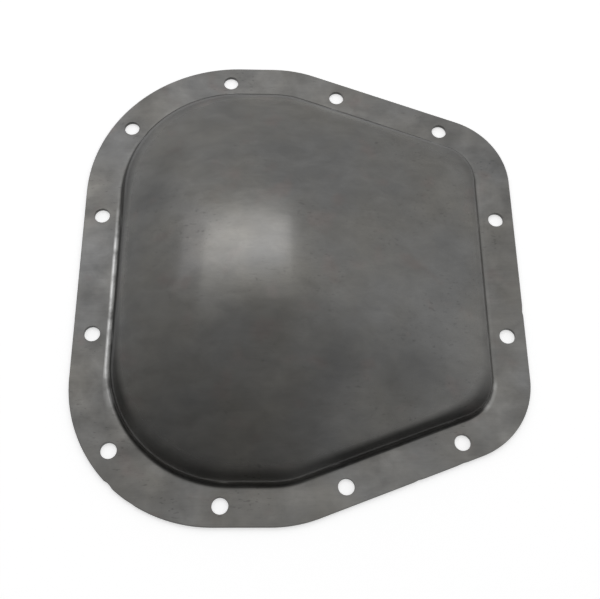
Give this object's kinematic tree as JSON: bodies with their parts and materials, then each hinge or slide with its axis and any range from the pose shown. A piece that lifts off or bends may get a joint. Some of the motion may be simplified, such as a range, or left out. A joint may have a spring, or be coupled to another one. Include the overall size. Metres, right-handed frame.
{
  "type": "differential cover",
  "caption": "Pressed sheet-steel pan with a crowned face and a flat, punched bolting flange; it closes the back of an axle housing.",
  "frame": {"origin": "centre of the flange's bounding rectangle, on the flat face that meets the housing (z = 0)", "axes": "+Z out of the housing through the crowned face; +Y along the cover's long way, towards the keyed bolt hole; +X towards the narrow end"},
  "size_m": [0.2972, 0.3352, 0.0419],
  "materials": {
    "bare_steel": "bare cold-rolled sheet, dull grey with a light film of oil, faint smudges and handling marks"
  },
  "bodies": {
    "root": {"differential_cover": "bare_steel"}
  },
  "joints": []
}
